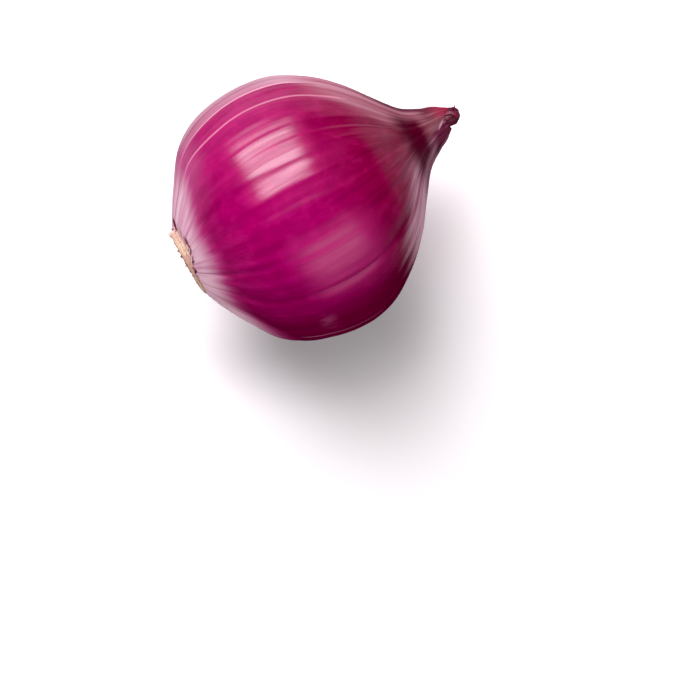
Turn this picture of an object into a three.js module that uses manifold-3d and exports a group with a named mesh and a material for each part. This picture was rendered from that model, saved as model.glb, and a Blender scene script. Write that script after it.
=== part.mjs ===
// A round red shallot lying on its side, as lifted and dried for the kitchen.
// It is one grown bulb. Its three tissues differ in colour, and each holds together as one body:
// the skins that close into a short neck, the corky root plate with its trimmed roots, and the
// withered leaf ends that dry to a knot in the mouth of the neck.
// Millimetres, +Z up. The bulb's axis runs along +X from the root plate to the neck, and its
// belly stands on a small flat spot at Z = 0. The origin is under the middle of its bounding box.

import * as THREE from "three";
import { mergeVertices } from "three/addons/utils/BufferGeometryUtils.js";
import Module from "manifold-3d";

const wasm = await Module();
wasm.setup();

// Driving dimensions, along the bulb's own axis: X from the root plate, R out from the axis.
const BELLY_RADIUS = 20; // half the width across the belly
const BELLY_HEIGHT_SHARE = 0.96; // a bulb that grew beside another is a little flattened
const NECK_HEIGHT_SHARE = 0.8; // the dried neck has collapsed more
const AXIS_BOW = 1.0; // how far the middle of the axis is bent sideways
const BOW_LENGTH = 44; // the bow is half a wave of this length
const BOW_STARTS_BEFORE = 4; // ahead of the root plate
const NECK_DIP = THREE.MathUtils.degToRad(4); // the neck end lies lower than the root end
const FLAT_SPOT_DEPTH = 0.45; // how much of the round belly the resting spot takes away
const SEAM_GAP = 0.3; // clear of each other, where one tissue sits in another

// The outline of the skins, from the rim round the root plate to the mouth of the neck.
const SKIN_OUTLINE = [
  [0.35, 5.45],
  [1.5, 7.75],
  [3.6, 11.2],
  [7.0, 16.0],
  [11.5, 18.9],
  [17.5, BELLY_RADIUS],
  [23.5, 19.2],
  [28.5, 16.3],
  [32.5, 12.5],
  [35.8, 8.2],
  [38.4, 5.0],
  [41.0, 3.3],
  [42.6, 2.6],
  [44, 1.65],
];

// Ribs: the skins' lengthwise veins, which stand out as low ribs and gather into pleats at the neck.
const RIBS = 24;
const COLUMNS_PER_RIB = 4;
const RIB_HEIGHT_BELLY = 0.2;
const RIB_HEIGHT_NECK = 0.42;
const NECK_STARTS = 30; // along the axis
const NECK_FULL = 38;
const RIB_FADE_RADIUS = 5; // ribs get lower where they crowd on a thinner neck
const CREASES_FULL_X = 4; // creases begin flat at the rim round the root plate

// Deeper lengthwise creases, each in the valley after a rib, and how deep it is.
const CREASES = new Map([
  [1, 0.16],
  [3, 0.42],
  [5, 0.24],
  [8, 0.34],
  [15, 0.36],
  [17, 0.2],
  [19, 0.28],
  [21, 0.26],
]);

// The outermost skin wraps the neck, and its dried edge stands up in one step.
const WRAP_RIB = 18.5;
const WRAP_STEP = 0.55;
const WRAP_LEVEL = 0.8; // the share of the way round from its edge where the wrap crosses the outline

const ROWS = 34; // along the skins, from the root rim to the mouth
const COLUMNS = RIBS * COLUMNS_PER_RIB;
const MOUTH_RAGGED_FROM = 42; // along the axis
const MOUTH_END = 44;

// The seats of the other two tissues in the skins.
const PLATE_RADIUS = 5.0;
const PLATE_SEAT_DEPTH = 1.5;
const TIP_SEAT_RADIUS = 0.95;
const TIP_SEAT_X = 42.6;
const TIP_SEAT_WALL_X = 43.1;

const TURN = 2 * Math.PI;

function smoothstep(low, high, x) {
  const t = Math.min(1, Math.max(0, (x - low) / (high - low)));
  return t * t * (3 - 2 * t);
}

// Where a share of the way round falls as an angle: ribs grow at uneven distances.
// The angle is 0 on top of the lying bulb, and grows towards +Y.
function angleAt(share) {
  const uneven =
    0.01 * Math.sin(TURN * 2 * share + 0.8) +
    0.006 * Math.sin(TURN * 5 * share + 2.1);
  return TURN * (share + uneven);
}

// Where the bowed axis runs, in Y.
function axisSide(x) {
  return -AXIS_BOW * Math.sin((Math.PI * (x + BOW_STARTS_BEFORE)) / BOW_LENGTH);
}

// How far the skin stands back from its outline, which the crests of the ribs reach.
function relief(share, x, radius) {
  const place = share * RIBS;
  const rib = Math.round(place) % RIBS;
  const fromCrest = 2 * Math.abs(place - Math.round(place));
  const neck = smoothstep(NECK_STARTS, NECK_FULL, x);
  const height = THREE.MathUtils.lerp(RIB_HEIGHT_BELLY, RIB_HEIGHT_NECK, neck);
  const unlike = 0.7 + 0.3 * Math.sin(2.4 * rib + 1);
  const ribDepth = height * unlike * (1 - (1 - fromCrest) ** 1.5);
  const valley = Math.floor(place) % RIBS;
  const fromValley = 4 * Math.abs(place - Math.floor(place) - 0.5);
  const crease = (CREASES.get(valley) ?? 0) * Math.max(0, 1 - fromValley);
  const rootFade = smoothstep(SKIN_OUTLINE[0][0], CREASES_FULL_X, x);
  const crowd = Math.min(1, radius / RIB_FADE_RADIUS);
  const pastEdge = ((place - WRAP_RIB + RIBS) % RIBS) / RIBS;
  const wrap = WRAP_STEP * neck * crowd * (pastEdge - WRAP_LEVEL);
  return wrap - (ribDepth + crease * rootFade) * crowd;
}

// A point of the skins: x along the axis, radius from the outline, share of the way round.
function skinPoint(x, radius, share) {
  const angle = angleAt(share);
  const lobes = 1 + 0.01 * Math.cos(3 * angle + 0.6) + 0.006 * Math.cos(5 * angle + 2);
  const out = radius * lobes + relief(share, x, radius);
  const flat = THREE.MathUtils.lerp(
    BELLY_HEIGHT_SHARE,
    NECK_HEIGHT_SHARE,
    smoothstep(NECK_STARTS, NECK_FULL, x),
  );
  return new THREE.Vector3(x, axisSide(x) + out * Math.sin(angle), flat * out * Math.cos(angle));
}

// A plain round ring for a seat, about a middle that is a little to one side.
function seatRing(x, radius, share, side) {
  const angle = angleAt(share);
  return new THREE.Vector3(x, side + radius * Math.sin(angle), radius * Math.cos(angle));
}

// A closed surface from rings of points with a pole at each end. The rings run along the axis.
function closedRings(rings, firstPole, lastPole) {
  const count = rings[0].length;
  const points = [firstPole, ...rings.flat(), lastPole];
  const last = points.length - 1;
  const at = (ring, i) => 1 + ring * count + (i % count);
  const index = [];
  for (let i = 0; i < count; i++) {
    index.push(0, at(0, i), at(0, i + 1));
    for (let ring = 0; ring + 1 < rings.length; ring++) {
      index.push(at(ring, i), at(ring + 1, i), at(ring + 1, i + 1));
      index.push(at(ring, i), at(ring + 1, i + 1), at(ring, i + 1));
    }
    index.push(last, at(rings.length - 1, i + 1), at(rings.length - 1, i));
  }
  return new THREE.BufferGeometry().setFromPoints(points).setIndex(index);
}

function solidOf(geometry) {
  const bare = geometry.clone();
  bare.deleteAttribute("normal");
  bare.deleteAttribute("uv");
  const merged = mergeVertices(bare, 1e-4);
  return new wasm.Manifold(
    new wasm.Mesh({
      numProp: 3,
      vertProperties: new Float32Array(merged.attributes.position.array),
      triVerts: new Uint32Array(merged.index.array),
    }),
  );
}

function geometryOf(solid) {
  const mesh = solid.getMesh();
  const geometry = new THREE.BufferGeometry()
    .setAttribute("position", new THREE.BufferAttribute(mesh.vertProperties, 3))
    .setIndex(new THREE.BufferAttribute(mesh.triVerts, 1));
  const faceted = geometry.toNonIndexed();
  faceted.computeVertexNormals();
  return faceted;
}

// Skins: one closed body from the seat of the root plate, over the belly, to the mouth.
function makeSkins() {
  const outline = new THREE.SplineCurve(SKIN_OUTLINE.map(([x, r]) => new THREE.Vector2(x, r)));
  const shares = Array.from({ length: COLUMNS }, (_, i) => i / COLUMNS);
  const seatRadius = PLATE_RADIUS + SEAM_GAP;
  const plateSide = axisSide(0);
  const tipSide = axisSide(TIP_SEAT_X);
  const rings = [seatRadius / 2, seatRadius].map((radius) =>
    shares.map((share) => seatRing(PLATE_SEAT_DEPTH, radius, share, plateSide)),
  );
  for (let row = 0; row <= ROWS; row++) {
    const { x, y: radius } = outline.getPoint(row / ROWS);
    const mouth = smoothstep(MOUTH_RAGGED_FROM, MOUTH_END, x);
    const ragged = (angle) => 0.3 * Math.sin(2 * angle + 1) + 0.2 * Math.sin(7 * angle);
    rings.push(
      shares.map((share) => skinPoint(x + mouth * ragged(angleAt(share)), radius, share)),
    );
  }
  rings.push(
    shares.map((share) => seatRing(TIP_SEAT_WALL_X, TIP_SEAT_RADIUS, share, tipSide)),
  );
  return closedRings(
    rings,
    new THREE.Vector3(PLATE_SEAT_DEPTH, plateSide, 0),
    new THREE.Vector3(TIP_SEAT_X, tipSide, 0),
  );
}

// Root plate: the corky disc that the skins and roots grow from, with a worn, uneven rim.
// Its face is a little hollow in the middle.
const PLATE_SIDES = 40;
const PLATE_MIDDLE_X = -0.15;

function plateRadius(angle) {
  return PLATE_RADIUS - 0.25 + 0.16 * Math.sin(4 * angle + 1) + 0.09 * Math.sin(9 * angle + 2);
}

function makePlateDisc() {
  const profile = [
    [PLATE_SEAT_DEPTH - SEAM_GAP, 0.97],
    [0.3, 1],
    [0, 0.98],
    [-0.22, 0.86],
    [-0.27, 0.6],
    [-0.2, 0.3],
  ];
  const side = axisSide(0);
  const angles = Array.from({ length: PLATE_SIDES }, (_, i) => (TURN * i) / PLATE_SIDES);
  const rings = profile.map(([x, share]) =>
    angles.map((angle) => {
      const radius = share * plateRadius(angle);
      return new THREE.Vector3(x, side + radius * Math.sin(angle), radius * Math.cos(angle));
    }),
  );
  rings.reverse();
  return closedRings(
    rings,
    new THREE.Vector3(PLATE_MIDDLE_X, side, 0),
    new THREE.Vector3(PLATE_SEAT_DEPTH - SEAM_GAP, side, 0),
  );
}

// Roots: trimmed and dried to short stubs, in two uneven rings round the middle of the plate.
const ROOT_RINGS = [
  { count: 12, ring: 3.6 },
  { count: 7, ring: 2.1 },
];
const ROOT_RADIUS = 0.34;
const ROOT_SIDES = 6;
const ROOT_END_SHARE = 0.7; // a dried root tapers
const ROOT_MIDDLE_X = -0.15;
const ROOT_LEAN = 0.25; // radians, at most

function makeRoots() {
  const roots = [];
  for (const { count, ring } of ROOT_RINGS)
    for (let i = 0; i < count; i++) {
      const angle = (TURN * (i + 0.3 * Math.sin(5 * i + ring))) / count;
      const length = 1 + 0.25 * Math.sin(3 * i + ring);
      const stub = new THREE.CylinderGeometry(
        ROOT_RADIUS * ROOT_END_SHARE,
        ROOT_RADIUS,
        length,
        ROOT_SIDES,
      );
      stub.rotateZ(Math.PI / 2);
      stub.translate(ROOT_MIDDLE_X, 0, 0);
      stub.rotateZ(ROOT_LEAN * Math.sin(7 * i));
      const out = ring + 0.35 * Math.sin(4 * i + 1);
      stub.translate(0, axisSide(0) + out * Math.sin(angle), out * Math.cos(angle));
      roots.push(stub);
    }
  return roots;
}

// Withered leaf ends: a dark, twisted knot that stands out of the mouth of the neck.
const TIP_SIDES = 20;
const TIP_RINGS = 14;
const TIP_TWIST = 0.9; // radians for each millimetre along it
const TIP_OPENS_FROM = 43.9; // its folds spread once it is clear of the mouth
const TIP_OPEN = 44.7;
const TIP_ROUNDS_OUT = 0.1; // past its last ring
const TIP_HANGS_ASIDE = -0.15;
const TIP_OUTLINE = [
  [TIP_SEAT_X + SEAM_GAP, 0.3],
  [TIP_SEAT_X + 0.8, TIP_SEAT_RADIUS - SEAM_GAP],
  [43.7, 0.62],
  [44.15, 0.85],
  [44.55, 1.12],
  [45.05, 0.98],
  [45.45, 0.5],
];

function makeTip() {
  const outline = new THREE.SplineCurve(TIP_OUTLINE.map(([x, r]) => new THREE.Vector2(x, r)));
  const angles = Array.from({ length: TIP_SIDES }, (_, i) => (TURN * i) / TIP_SIDES);
  const rings = outline.getPoints(TIP_RINGS).map(({ x, y: radius }) =>
    angles.map((angle) => {
      const open = smoothstep(TIP_OPENS_FROM, TIP_OPEN, x);
      const twist = angle + TIP_TWIST * (x - TIP_SEAT_X);
      const folds = 1 + open * (0.2 * Math.sin(3 * twist) + 0.12 * Math.sin(5 * twist + 1));
      const out = radius * folds;
      return new THREE.Vector3(
        x,
        axisSide(x) + TIP_HANGS_ASIDE * open + out * Math.sin(angle),
        out * Math.cos(angle),
      );
    }),
  );
  const start = TIP_OUTLINE[0][0];
  const end = TIP_OUTLINE.at(-1)[0] + TIP_ROUNDS_OUT;
  return closedRings(
    rings,
    new THREE.Vector3(start, axisSide(start), 0),
    new THREE.Vector3(end, axisSide(end) + TIP_HANGS_ASIDE, 0),
  );
}

// Laying the bulb down: the neck dips, and the belly is pressed flat where it rests.
const dip = new THREE.Matrix4().makeRotationY(NECK_DIP);
const skins = makeSkins().applyMatrix4(dip);
skins.computeBoundingBox();
const floor = skins.boundingBox.min.z + FLAT_SPOT_DEPTH;
const below = new THREE.BoxGeometry(4 * BELLY_RADIUS, 4 * BELLY_RADIUS, BELLY_RADIUS);
below.translate(BELLY_RADIUS, 0, floor - BELLY_RADIUS / 2);
const restingSkins = geometryOf(solidOf(skins).subtract(solidOf(below)));

let plate = solidOf(makePlateDisc());
for (const root of makeRoots()) plate = plate.add(solidOf(root));
const plateGeometry = geometryOf(plate).applyMatrix4(dip);

const tipGeometry = geometryOf(solidOf(makeTip())).applyMatrix4(dip);

const skinMaterial = new THREE.MeshStandardMaterial({
  color: 0xa31458,
  roughness: 0.32,
  metalness: 0,
});
const plateMaterial = new THREE.MeshStandardMaterial({
  color: 0xcaa17c,
  roughness: 0.9,
  metalness: 0,
});
const tipMaterial = new THREE.MeshStandardMaterial({
  color: 0x4f1728,
  roughness: 0.6,
  metalness: 0,
});

function named(name, geometry, material) {
  const mesh = new THREE.Mesh(geometry, material);
  mesh.name = name;
  return mesh;
}

const shallot = new THREE.Group();
shallot.add(named("bulb_skins", restingSkins, skinMaterial));
shallot.add(named("root_plate", plateGeometry, plateMaterial));
shallot.add(named("withered_tip", tipGeometry, tipMaterial));

const box = new THREE.Box3().setFromObject(shallot, true);
const middle = box.getCenter(new THREE.Vector3());
shallot.position.set(-middle.x, -middle.y, -floor);

export default shallot;
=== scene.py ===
import math
from types import SimpleNamespace

import bpy
import numpy as np
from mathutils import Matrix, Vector, noise


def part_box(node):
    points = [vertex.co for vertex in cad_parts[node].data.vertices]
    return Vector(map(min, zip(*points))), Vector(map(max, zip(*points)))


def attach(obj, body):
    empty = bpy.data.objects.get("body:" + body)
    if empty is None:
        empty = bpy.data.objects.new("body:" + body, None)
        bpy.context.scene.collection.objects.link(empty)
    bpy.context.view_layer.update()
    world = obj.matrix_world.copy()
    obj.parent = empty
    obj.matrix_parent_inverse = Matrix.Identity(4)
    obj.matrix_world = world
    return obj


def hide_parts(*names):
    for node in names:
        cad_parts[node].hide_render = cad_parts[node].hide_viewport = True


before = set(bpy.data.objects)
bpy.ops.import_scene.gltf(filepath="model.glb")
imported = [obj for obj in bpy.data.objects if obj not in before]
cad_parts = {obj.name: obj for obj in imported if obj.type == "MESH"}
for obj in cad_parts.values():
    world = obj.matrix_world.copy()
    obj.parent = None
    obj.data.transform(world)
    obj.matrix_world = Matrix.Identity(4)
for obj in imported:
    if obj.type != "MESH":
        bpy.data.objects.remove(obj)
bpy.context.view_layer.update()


# The bulb in its skins
# Fleshy scales wrapped one round another, closed by a thin glossy skin with lengthwise veins.
# It grew in one piece: pale where it leaves the root plate, magenta over the belly, and drawn
# together above into a short neck, whose skin has dried brown and papery.
MM = 0.001
TURN = 2 * math.pi
AXIS_BOW = 1.0
BOW_LENGTH = 44
BOW_STARTS_BEFORE = 4
NECK_DIP = math.radians(4)
BELLY_HEIGHT_SHARE = 0.96
NECK_HEIGHT_SHARE = 0.8
NECK_STARTS = 30
NECK_FULL = 38
SKIN_OUTLINE = [
    (0.35, 5.45),
    (1.5, 7.75),
    (3.6, 11.2),
    (7.0, 16.0),
    (11.5, 18.9),
    (17.5, 20.0),
    (23.5, 19.2),
    (28.5, 16.3),
    (32.5, 12.5),
    (35.8, 8.2),
    (38.4, 5.0),
    (41.0, 3.3),
    (42.6, 2.6),
    (44.0, 1.65),
]
SKIN_ROWS = 236
SKIN_COLUMNS = 352

# Ribs and creases, counted round the bulb from the top. A crease has a depth near the root
# and at the neck, and another on the belly, in millimetres.
RIBS = 24
RIB_HEIGHT_BELLY = 0.07
RIB_HEIGHT_NECK = 0.26
RIB_HEIGHT_COLLAR = 0.04
SMOOTH_TOP_SHARE = 0.3
RIB_FADE_RADIUS = 5
RIB_CREST_ROUNDING = 0.22
CREASES = {
    1: (0.14, 0.05),
    3: (0.25, 0.04),
    5: (0.2, 0.08),
    8: (0.34, 0.3),
    15: (0.36, 0.3),
    17: (0.3, 0.12),
    19: (0.3, 0.04),
    20: (0.2, 0.03),
    21: (0.3, 0.2),
    22: (0.22, 0.04),
}
WRAP_RIB = 18.5
WRAP_STEP = 0.55
WRAP_LEVEL = 0.8

# Skins end with a thin raised edge: two on the upper side, one low on the near side, and one
# that is rolled over down the near side of the collar. (Ribs from the top, height of the edge,
# step down behind it, where along the bulb it starts and ends.)
SKIN_EDGES = {
    "inner": (3.0, 0.08, 0.05, 3.0, 33.0),
    "outer": (3.81, 0.05, -0.05, 5.0, 29.0),
    "lower": (-5.2, 0.05, -0.03, 9.0, 25.0),
    "collar": (-5.7, 0.1, 0.12, 38.5, 46.0),
}
# The veins aren't quite straight: how far they turn, in degrees, at places along the bulb.
VEIN_DRIFT_X = (0, 5, 7.5, 11, 15, 20, 27, 30, 33, 36, 44)
VEIN_DRIFT = (3, 5, 2.4, 0, 1.3, 0.2, -3.4, -5.4, -8, -10, -10)
VEIN_DRIFT_CENTRE = math.radians(47)
VEIN_DRIFT_REACH = math.radians(55)

# Where the outermost skin ends at the root, along the bulb, at angles from the top: it has
# shrunk back and torn a little on the upper side, so that the cork shows.
ROOT_RIM_TURN = (-180, -130, -70, -45, -38, -30, -18, -8, 0, 8, 24, 60, 82, 100, 140, 180)
ROOT_RIM_X = (0.2, -0.25, -0.42, -0.34, -0.2, 0.05, 0.2, 0.5, 0.6, 0.95, 1.0, 0.95, 0.5, 0.3, 0.4, 0.2)
# Tears in that margin: (degrees from the top, how wide in degrees, how far in from the edge).
ROOT_TEARS = [
    (14, 10, 0.2),
    (-3, 5, 0.12),
    (-18, 6, 0.06),
    (-31, 5, 0.04),
    (66, 6, 0.2),
    (89, 7, 0.0),
    (-120, 6, 0.0),
    (150, 6, 0.1),
]

# How far the two sides stand out from round, in millimetres, at places along the bulb.
SIDE_X = (0, 1.5, 3, 6, 9, 13, 20, 27, 33, 36, 39, 42, 44)
NEAR_SIDE_OUT = (0, 0.25, 0.35, 0.15, -0.35, -0.55, -0.2, -0.2, 0, 0, 0, 0, 0)
FAR_SIDE_OUT = (0, 0, 0, 0, 0, 0, 0, 0, 0.15, 0.28, 0.34, 0.32, 0.25)
SIDE_REACH = 0.75


def smoothstep(low, high, x):
    t = np.clip((np.asarray(x, float) - low) / (high - low), 0, 1)
    return t * t * (3 - 2 * t)


def outline_at(outline, share):
    """Points of a smooth outline through these corners, at shares of the way along it."""
    corners = np.array(outline, float)
    last = len(corners) - 1
    place = np.clip(np.asarray(share, float) * last, 0, last - 1e-9)
    i = place.astype(int)
    t = (place - i)[:, None]
    before, a, b, after = (corners[np.clip(i + k, 0, last)] for k in (-1, 0, 1, 2))
    pull_a, pull_b = (b - before) / 2, (after - a) / 2
    return (
        (2 * a - 2 * b + pull_a + pull_b) * t**3
        + (-3 * a + 3 * b - 2 * pull_a - pull_b) * t**2
        + pull_a * t
        + a
    )


def angle_at(share):
    uneven = 0.01 * np.sin(TURN * 2 * share + 0.8) + 0.006 * np.sin(TURN * 5 * share + 2.1)
    return TURN * (share + uneven)


def axis_side(x):
    return -AXIS_BOW * np.sin(np.pi * (x + BOW_STARTS_BEFORE) / BOW_LENGTH)


def drifted(angle, x):
    """The true angle of a vein that started at this one."""
    off = (angle - VEIN_DRIFT_CENTRE + np.pi) % TURN - np.pi
    weight = np.cos(np.clip(off / VEIN_DRIFT_REACH, -1, 1) * np.pi / 2) ** 2
    near = (-2, -1.2, -0.4, 0.4, 1.2, 2)
    drift = sum(np.interp(x + ahead, VEIN_DRIFT_X, VEIN_DRIFT) for ahead in near) / len(near)
    return angle + weight * np.radians(drift)


def edge_shape(share, x, radius, edge):
    """Height of a skin's edge, its step, and how much it shows, near one of SKIN_EDGES."""
    rib, height, step, start, end = edge
    across = (share * RIBS - rib + RIBS / 2) % RIBS - RIBS / 2
    across = across * TURN / RIBS * radius
    shows = smoothstep(start - 2, start + 2, x) * (1 - smoothstep(end - 4, end, x))
    rim = np.exp(-((across / 0.26) ** 2))
    behind = smoothstep(0.1, 0.5, across) * (1 - smoothstep(1.2, 6, across))
    return (height * rim - step * behind) * shows, rim * shows


def relief(share, x, radius):
    """How far the skin stands out from its outline, and the marks of its creases and edges."""
    place = share * RIBS
    rib = np.round(place) % RIBS
    from_crest = 2 * np.abs(place - np.round(place))
    rounded = np.sqrt(from_crest**2 + RIB_CREST_ROUNDING**2) - RIB_CREST_ROUNDING
    neck = smoothstep(NECK_STARTS, NECK_FULL, x)
    near = ((1 + np.cos(TURN * (share - 0.8))) / 2) ** 5
    on_neck = RIB_HEIGHT_NECK * (SMOOTH_TOP_SHARE + (1 - SMOOTH_TOP_SHARE) * near)
    height = RIB_HEIGHT_BELLY + (on_neck - RIB_HEIGHT_BELLY) * neck
    height = height + (RIB_HEIGHT_COLLAR - height) * smoothstep(38, 41, x)
    height = height * smoothstep(1, 9, x)
    unlike = 0.7 + 0.3 * np.sin(2.4 * rib + 1)
    rib_depth = height * unlike * (1 - (1 - np.minimum(rounded, 1)) ** 1.5)
    valley = np.floor(place).astype(int) % RIBS
    depths = np.zeros((RIBS, 2))
    depths[list(CREASES)] = list(CREASES.values())
    belly = smoothstep(6, 13, x) * (1 - smoothstep(27, 33, x))
    depth = depths[valley, 0] * (1 - belly) + depths[valley, 1] * belly
    from_valley = np.clip(4 * np.abs(place - np.floor(place) - 0.5), 0, 1)
    fold = (depths[valley, 0] > 0.15) * (1 - from_valley) ** 4
    crease = depth * (1 - from_valley) ** 1.3
    crease = crease * smoothstep(SKIN_OUTLINE[0][0], 4, x)
    crowd = np.minimum(1, radius / RIB_FADE_RADIUS)
    past_edge = ((place - WRAP_RIB + RIBS) % RIBS) / RIBS
    wrap = WRAP_STEP * neck * crowd * (past_edge - WRAP_LEVEL)
    edges = [edge_shape(share, x, radius, edge) for edge in SKIN_EDGES.values()]
    lift = sum(e[0] for e in edges)
    depth = wrap + lift - (rib_depth + crease) * crowd
    return depth, crease, fold, *(e[1] for e in edges)


def skin_points(share, x, radius):
    """Places on the skins, and the marks that their relief leaves there."""
    angle = drifted(angle_at(share), x)
    lobes = 1 + 0.01 * np.cos(3 * angle + 0.6) + 0.006 * np.cos(5 * angle + 2)
    depth, *marks = relief(share, x, radius)
    out = radius * lobes + depth
    neck = smoothstep(NECK_STARTS, NECK_FULL, x)
    flat = BELLY_HEIGHT_SHARE + (NECK_HEIGHT_SHARE - BELLY_HEIGHT_SHARE) * neck
    for middle, amount in ((-np.pi / 2, NEAR_SIDE_OUT), (np.pi / 2, FAR_SIDE_OUT)):
        off = (angle - middle + np.pi) % TURN - np.pi
        out = out + np.interp(x, SIDE_X, amount) * np.exp(-((off / SIDE_REACH) ** 2))
    side = axis_side(x) + out * np.sin(angle)
    return np.stack([x, side, flat * out * np.cos(angle)], -1), marks


def closed_grid(rings, first_pole, last_pole):
    """Vertices and faces of a surface closed by a pole at each end of its rings."""
    rows, columns = rings.shape[:2]
    points = np.concatenate([[first_pole], rings.reshape(-1, 3), [last_pole]])
    at = 1 + np.arange(rows * columns).reshape(rows, columns)
    after = np.roll(at, -1, axis=1)
    quads = np.stack([at[:-1], at[1:], after[1:], after[:-1]], -1).reshape(-1, 4)
    last = len(points) - 1
    first_fan = [(0, int(a), int(b)) for a, b in zip(at[0], after[0])]
    last_fan = [(last, int(b), int(a)) for a, b in zip(at[-1], after[-1])]
    return points, first_fan + quads.tolist() + last_fan


def laid_down(points):
    """Turns places from the bulb's own axis to the lying bulb, in millimetres."""
    x, y, z = np.asarray(points, float).T
    c, s = math.cos(NECK_DIP), math.sin(NECK_DIP)
    return np.stack([x * c + z * s, y, z * c - x * s], -1)


def mesh_of(name, points, faces, marks=None, places=None):
    """A smooth mesh in metres, with its marks and its place on the bulb as attributes."""
    mesh = bpy.data.meshes.new(name)
    mesh.from_pydata((np.asarray(points) * MM).tolist(), [], faces)
    for mark, values in (marks or {}).items():
        layer = mesh.attributes.new(mark, "FLOAT", "POINT")
        layer.data.foreach_set("value", np.asarray(values, np.float32))
    if places is not None:
        layer = mesh.attributes.new("vein_place", "FLOAT_VECTOR", "POINT")
        layer.data.foreach_set("vector", np.asarray(places, np.float32).ravel())
    mesh.shade_smooth()
    mesh.update()
    return mesh


def in_scene(name, mesh):
    made = bpy.data.objects.new(name, mesh)
    bpy.context.scene.collection.objects.link(made)
    return made


shares = set(np.arange(SKIN_COLUMNS) / SKIN_COLUMNS)
for rib in [edge[0] for edge in SKIN_EDGES.values()] + [WRAP_RIB, 21.5, 3.5]:
    shares |= {(rib + k * 0.022) / RIBS % 1 for k in range(-4, 5)}
shares = np.array(sorted(shares))
shares = shares[np.append(np.diff(shares) > 2e-4, True)]
rows = outline_at(SKIN_OUTLINE, np.linspace(0, 1, SKIN_ROWS))
x = np.repeat(rows[:, :1], len(shares), axis=1)
radius = np.repeat(rows[:, 1:], len(shares), axis=1)
share = np.repeat(shares[None], SKIN_ROWS, axis=0)
angle = angle_at(share)
turned = np.degrees((angle + np.pi) % TURN - np.pi)
mouth = smoothstep(41.5, 44, x)
ragged = 0.2 * np.sin(2 * angle + 1) + 0.12 * np.sin(7 * angle) + 0.1 * np.sin(17 * angle)
far_corner = mouth * np.exp(-(((turned - 70) / 45) ** 2))
x = x + mouth * ragged + 0.85 * far_corner
radius = radius - 0.4 * far_corner**2
rim_at = np.interp(turned, ROOT_RIM_TURN, ROOT_RIM_X) + 0.07 * np.sin(23 * angle) * np.sin(5 * angle)
rim_at = rim_at + 0.05 * np.sin(41 * angle + 2)
first_x = SKIN_OUTLINE[0][0]
x = np.where(x < rim_at + 0.3, rim_at + (x - first_x) * 0.3 / (rim_at + 0.3 - first_x), x)
grid, (crease, fold, *edge_marks) = skin_points(share, x, radius)


def seat_ring(x, radius, side):
    a = angle_at(shares)
    return np.stack([np.full_like(a, x), side + radius * np.sin(a), radius * np.cos(a)], -1)


plate_side, tip_side = axis_side(0), axis_side(42.6)
inside = [seat_ring(1.5, r, plate_side) for r in (2.6, 5.3)]
mouth_in = [seat_ring(43.75, 1.3, tip_side), seat_ring(43.1, 0.95, tip_side)]
rings = np.concatenate([inside, grid, mouth_in])
points, faces = closed_grid(rings, (1.5, plate_side, 0), (42.6, tip_side, 0))
points = laid_down(points)
teeth = 0.16 * np.abs(np.sin(26 * angle + np.sin(9 * angle)))
# Where the skin is torn at the plate; the colour there is painted shadow under the lifted edge.
tear = sum(
    np.exp(-(((x - rim_at + teeth - deep) / 0.32) ** 2) - ((turned - at) / wide) ** 2)
    for at, wide, deep in ROOT_TEARS
)
FAR_FROM_RIM = 9.0
found = {"crease": crease, "fold": fold, "tear": tear}
found |= {edge + "_edge": shown for edge, shown in zip(SKIN_EDGES, edge_marks)}
found["past_rim"] = x - rim_at
marks = {}
for name, values in found.items():
    flat_values = np.full(len(points), FAR_FROM_RIM if name == "past_rim" else 0.0)
    flat_values[1 + 2 * len(shares) : 1 + (2 + SKIN_ROWS) * len(shares)] = values.ravel()
    marks[name] = flat_values
past_rim = marks.pop("past_rim")
own_angle = np.tile(angle_at(shares), len(rings))
own_x = rings[:, :, 0].ravel()
places = np.stack([np.cos(own_angle), np.sin(own_angle), own_x], -1)
places = np.concatenate([[(1, 0, 1.5)], places, [(1, 0, 42.6)]])

# The CAD body says where the bulb lies: its middle in plan, and its top.
skins_low, skins_high = (np.array(c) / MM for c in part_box("bulb_skins"))
own_low, own_high = points.min(0), points.max(0)
lies_at = (skins_low + skins_high - own_low - own_high) / 2
lies_at[2] = skins_high[2] - own_high[2]
points = points + lies_at
points[:, 2] = np.maximum(points[:, 2], 0)
bulb = in_scene("bulb_skins_fine", mesh_of("bulb_skins_fine", points, faces, marks, places))


def add(tree, kind, inputs=None, **settings):
    """A node of this kind, with its settings, and its inputs set or linked."""
    node = tree.nodes.new(kind)
    for name, value in settings.items():
        setattr(node, name, value)
    for key, value in (inputs or {}).items():
        if isinstance(value, bpy.types.NodeSocket):
            tree.links.new(value, node.inputs[key])
        else:
            node.inputs[key].default_value = value
    return node


def calc(tree, operation, *values):
    node = add(tree, "ShaderNodeMath", dict(enumerate(values)), operation=operation)
    return node.outputs[0]


def total(tree, *parts, offset=0.0):
    """The sum of values, each with its weight, and an offset."""
    result = None
    for value, weight in parts:
        term = calc(tree, "MULTIPLY", value, weight)
        result = calc(tree, "ADD", term, offset if result is None else result)
    return result


def product(tree, first, *others):
    for value in others:
        first = calc(tree, "MULTIPLY", first, value)
    return first


def ramp(tree, value, low, high, start=0.0, end=1.0):
    """A smooth step from start to end while the value goes from low to high."""
    inputs = {"Value": value, "From Min": low, "From Max": high, "To Min": start, "To Max": end}
    node = add(tree, "ShaderNodeMapRange", inputs, interpolation_type="SMOOTHSTEP")
    return node.outputs["Result"]


def tree_sockets(tree, inputs, **outputs):
    """Makes a tree's inputs, each with its type and value, and its outputs."""
    for name, (kind, value) in inputs.items():
        socket = tree.interface.new_socket(name, in_out="INPUT", socket_type="NodeSocket" + kind)
        if value is not None:
            socket.default_value = value
    for name, kind in outputs.items():
        tree.interface.new_socket(name, in_out="OUTPUT", socket_type="NodeSocket" + kind)


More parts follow.
